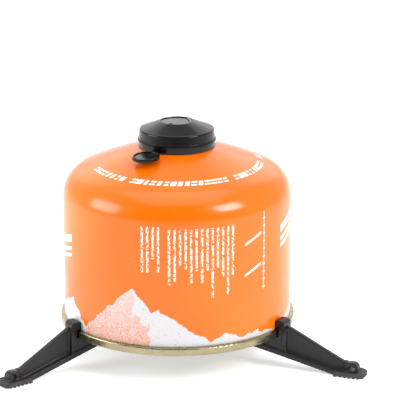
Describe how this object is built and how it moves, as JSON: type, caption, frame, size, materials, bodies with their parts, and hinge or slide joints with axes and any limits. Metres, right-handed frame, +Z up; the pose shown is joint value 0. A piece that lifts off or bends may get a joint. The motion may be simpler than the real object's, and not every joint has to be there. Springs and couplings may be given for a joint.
{
  "type": "gas canister on folding stand",
  "caption": "Squat screw-valve camping gas canister with a press-on cap, standing on a folding tripod base whose grooved feet hold it level.",
  "frame": {"origin": "on the canister's axis, in the plane of the foot pads' undersides", "axes": "+Z up the canister's axis, +Y along the leg that doesn't fold"},
  "size_m": [0.174, 0.1589, 0.1142],
  "materials": {
    "orange_paint": "gloss",
    "gold_steel": "lacquered",
    "tin_steel": "bright",
    "seal_rubber": "matt",
    "valve_plastic": "matt",
    "spring_steel": "bright",
    "cap_plastic": "gloss",
    "stand_plastic": "satin",
    "pin_steel": "satin",
    "foot_rubber": "matt"
  },
  "bodies": {
    "stand": {"hub_plate": "stand_plastic", "fixed_leg": "stand_plastic", "leg_screw": "pin_steel", "pivot_washers": "pin_steel", "rim_catch_back": "stand_plastic", "foot_pad_back": "foot_rubber"},
    "leg_left": {"swing_leg_left": "stand_plastic", "pivot_pin_left": "pin_steel", "rim_catch_left": "stand_plastic", "foot_pad_left": "foot_rubber"},
    "leg_right": {"swing_leg_right": "stand_plastic", "pivot_pin_right": "pin_steel", "rim_catch_right": "stand_plastic", "foot_pad_right": "foot_rubber"},
    "canister": {"canister_body": "orange_paint", "neck_collar": "tin_steel", "base_dome": "gold_steel", "seam_sealant": "seal_rubber", "valve_cup": "tin_steel", "cup_gasket": "seal_rubber", "valve_housing": "valve_plastic", "stem_gasket": "seal_rubber", "valve_spring": "spring_steel"},
    "stem": {"valve_stem": "valve_plastic"},
    "cap": {"cap_shell": "cap_plastic", "tear_band": "cap_plastic"},
    "tab": {"pull_tab": "cap_plastic"}
  },
  "joints": [
    {"name": "canister_lift", "type": "slide", "parent": "stand", "child": "canister", "axis": [0, 0, 1], "range_m": [0, 0.06], "deforming": ["rim_catch_back", "rim_catch_left", "rim_catch_right"]},
    {"name": "leg_right_fold", "type": "hinge", "parent": "stand", "child": "leg_right", "pos_m": [0.012, -0.00693, 0.0189], "axis": [0, 0, 1], "range_deg": [0, 120]},
    {"name": "leg_left_fold", "type": "hinge", "parent": "stand", "child": "leg_left", "pos_m": [-0.012, -0.00693, 0.0189], "axis": [0, 0, -1], "range_deg": [0, 120]},
    {"name": "cap_lift", "type": "slide", "parent": "canister", "child": "cap", "axis": [0, 0, 1], "range_m": [0, 0.04]},
    {"name": "tab_lift", "type": "hinge", "parent": "cap", "child": "tab", "pos_m": [-0.01266, -0.01436, 0.1026], "axis": [-0.7501, 0.6613, 0], "range_deg": [0, 75]},
    {"name": "stem_press", "type": "slide", "parent": "canister", "child": "stem", "axis": [0, 0, -1], "range_m": [0, 0.002], "stiffness_N_per_m": 1500, "springref_m": -0.001, "deforming": ["valve_spring"]}
  ],
  "couplings": [
    {"joint": "leg_right_fold", "follows": "canister_lift", "rad_per_m": 34.907},
    {"joint": "leg_left_fold", "follows": "canister_lift", "rad_per_m": 34.907}
  ]
}
